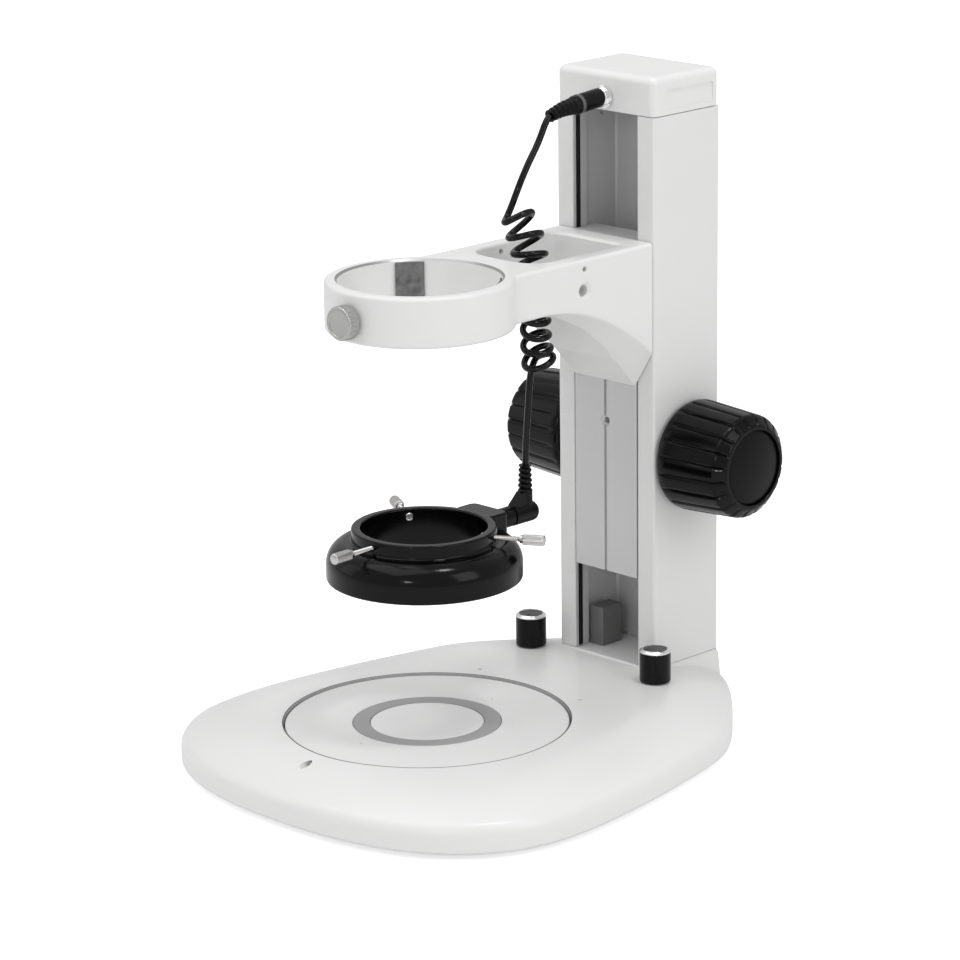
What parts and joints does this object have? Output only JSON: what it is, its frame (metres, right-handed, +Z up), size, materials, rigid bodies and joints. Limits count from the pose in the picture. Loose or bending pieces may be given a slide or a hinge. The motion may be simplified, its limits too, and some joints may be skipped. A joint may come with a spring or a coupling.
{
  "type": "stereo microscope track stand",
  "caption": "Lit base with round stage, rack-and-pinion focus column, ring arm for a microscope head, and a ring light on a curly cord.",
  "frame": {"origin": "on the bench, under the middle of the base", "axes": "+Z up; +Y from the stage towards the column; +X to the right seen from the front"},
  "size_m": [0.231, 0.277, 0.3185],
  "materials": {
    "white_paint": "satin white enamel over die-cast and extruded aluminium",
    "plate_white": "smooth white stage plate, semi-gloss",
    "ring_grey": "mid grey matte ring round the lit window",
    "frosted_glass": "frosted opal glass",
    "satin_alloy": "bare satin alloy",
    "bright_steel": "bright nickel plate over steel",
    "brass": "turned brass",
    "black_plastic": "black moulded plastic, semi-gloss",
    "black_enamel": "satin black enamel over die-cast aluminium",
    "black_rubber": "black cord jacket and rubber",
    "circuit_board": "green glass-fibre board",
    "ring_lens": "milky diffusing lens",
    "cover_grey": "grey pressed cover plate"
  },
  "bodies": {
    "stand": {"base_casting": "white_paint", "base_cover": "cover_grey", "rubber_foot_1": "black_rubber", "rubber_foot_2": "black_rubber", "rubber_foot_3": "black_rubber", "rubber_foot_4": "black_rubber", "stage_plate": "plate_white", "window_ring": "ring_grey", "stage_window": "frosted_glass", "stage_lock_screw": "bright_steel", "lamp_board": "circuit_board", "driver_board": "circuit_board", "dimmer_pot_left": "satin_alloy", "dimmer_pot_right": "satin_alloy", "column_extrusion": "white_paint", "column_cap": "white_paint", "column_foot_block": "satin_alloy", "glide_strip_left": "black_plastic", "glide_strip_right": "black_plastic", "lamp_socket": "bright_steel", "power_inlet": "black_plastic", "shaft_bush_left": "brass", "shaft_bush_right": "brass", "socket_lead": "black_rubber", "cord_plug_upper": "black_rubber", "cord_upper_lead": "black_rubber"},
    "focus_drive": {"focus_shaft": "bright_steel", "focus_pinion": "bright_steel", "focus_knob_left": "black_plastic", "focus_knob_right": "black_plastic", "knob_cap_left": "black_plastic", "knob_cap_right": "black_plastic"},
    "carriage": {"slider_block": "satin_alloy", "focus_rack": "bright_steel", "focus_arm": "white_paint", "arm_screw_left": "bright_steel", "arm_screw_right": "bright_steel", "clamp_pad_left": "satin_alloy", "clamp_pad_right": "satin_alloy", "ring_light_housing": "black_enamel", "ring_led_board": "circuit_board", "ring_lens": "ring_lens", "cord_coil": "black_rubber", "cord_lower_lead": "black_rubber", "cord_plug_lower": "black_rubber"},
    "clamp_tip": {"arm_clamp_tip": "brass"},
    "clamp_screw": {"arm_clamp_screw": "bright_steel"},
    "dimmer_left": {"dimmer_spindle_left": "satin_alloy", "dimmer_knob_left": "black_plastic", "dimmer_cap_left": "bright_steel"},
    "dimmer_right": {"dimmer_spindle_right": "satin_alloy", "dimmer_knob_right": "black_plastic", "dimmer_cap_right": "bright_steel"},
    "ring_tip_1": {"thumbscrew_tip_1": "bright_steel"},
    "ring_screw_1": {"thumbscrew_1": "bright_steel"},
    "ring_tip_2": {"thumbscrew_tip_2": "bright_steel"},
    "ring_screw_2": {"thumbscrew_2": "bright_steel"},
    "ring_tip_3": {"thumbscrew_tip_3": "bright_steel"},
    "ring_screw_3": {"thumbscrew_3": "bright_steel"}
  },
  "joints": [
    {"name": "focus_slide", "type": "slide", "parent": "stand", "child": "carriage", "axis": [0, 0, 1], "range_m": [-0.024, 0.04], "deforming": ["cord_upper_lead", "cord_coil"]},
    {"name": "focus_turn", "type": "hinge", "parent": "stand", "child": "focus_drive", "pos_m": [0, 0.111, 0.1321], "axis": [1, 0, 0], "range_deg": [-410, 246]},
    {"name": "arm_clamp_slide", "type": "slide", "parent": "carriage", "child": "clamp_tip", "axis": [0, 1, 0], "range_m": [-0.003, 0.0004]},
    {"name": "arm_clamp_turn", "type": "hinge", "parent": "clamp_tip", "child": "clamp_screw", "pos_m": [0, -0.084, 0.2272], "axis": [0, 1, 0], "range_deg": [-1085, 150]},
    {"name": "thumbscrew_slide_1", "type": "slide", "parent": "carriage", "child": "ring_tip_1", "axis": [-0.866, -0.5, 0], "range_m": [-0.0005, 0.006]},
    {"name": "thumbscrew_turn_1", "type": "hinge", "parent": "ring_tip_1", "child": "ring_screw_1", "pos_m": [0.03897, -0.0165, 0.1182], "axis": [-0.866, -0.5, 0], "range_deg": [-362, 4325]},
    {"name": "thumbscrew_slide_2", "type": "slide", "parent": "carriage", "child": "ring_tip_2", "axis": [0.866, -0.5, 0], "range_m": [-0.0005, 0.006]},
    {"name": "thumbscrew_turn_2", "type": "hinge", "parent": "ring_tip_2", "child": "ring_screw_2", "pos_m": [-0.03897, -0.0165, 0.1182], "axis": [0.866, -0.5, 0], "range_deg": [-362, 4325]},
    {"name": "thumbscrew_slide_3", "type": "slide", "parent": "carriage", "child": "ring_tip_3", "axis": [0, 1, 0], "range_m": [-0.0005, 0.006]},
    {"name": "thumbscrew_turn_3", "type": "hinge", "parent": "ring_tip_3", "child": "ring_screw_3", "pos_m": [0, -0.084, 0.1182], "axis": [0, 1, 0], "range_deg": [-362, 4325]},
    {"name": "dimmer_turn_left", "type": "hinge", "parent": "stand", "child": "dimmer_left", "pos_m": [-0.0417, 0.0744, 0.027], "axis": [0, 0, 1], "range_deg": [-150, 150]},
    {"name": "dimmer_turn_right", "type": "hinge", "parent": "stand", "child": "dimmer_right", "pos_m": [0.0417, 0.0744, 0.027], "axis": [0, 0, 1], "range_deg": [-150, 150]}
  ],
  "couplings": [
    {"joint": "focus_turn", "follows": "focus_slide", "rad_per_m": -178.57},
    {"joint": "arm_clamp_turn", "follows": "arm_clamp_slide", "rad_per_m": 6283.2},
    {"joint": "thumbscrew_turn_1", "follows": "thumbscrew_slide_1", "rad_per_m": 12566},
    {"joint": "thumbscrew_turn_2", "follows": "thumbscrew_slide_2", "rad_per_m": 12566},
    {"joint": "thumbscrew_turn_3", "follows": "thumbscrew_slide_3", "rad_per_m": 12566}
  ]
}
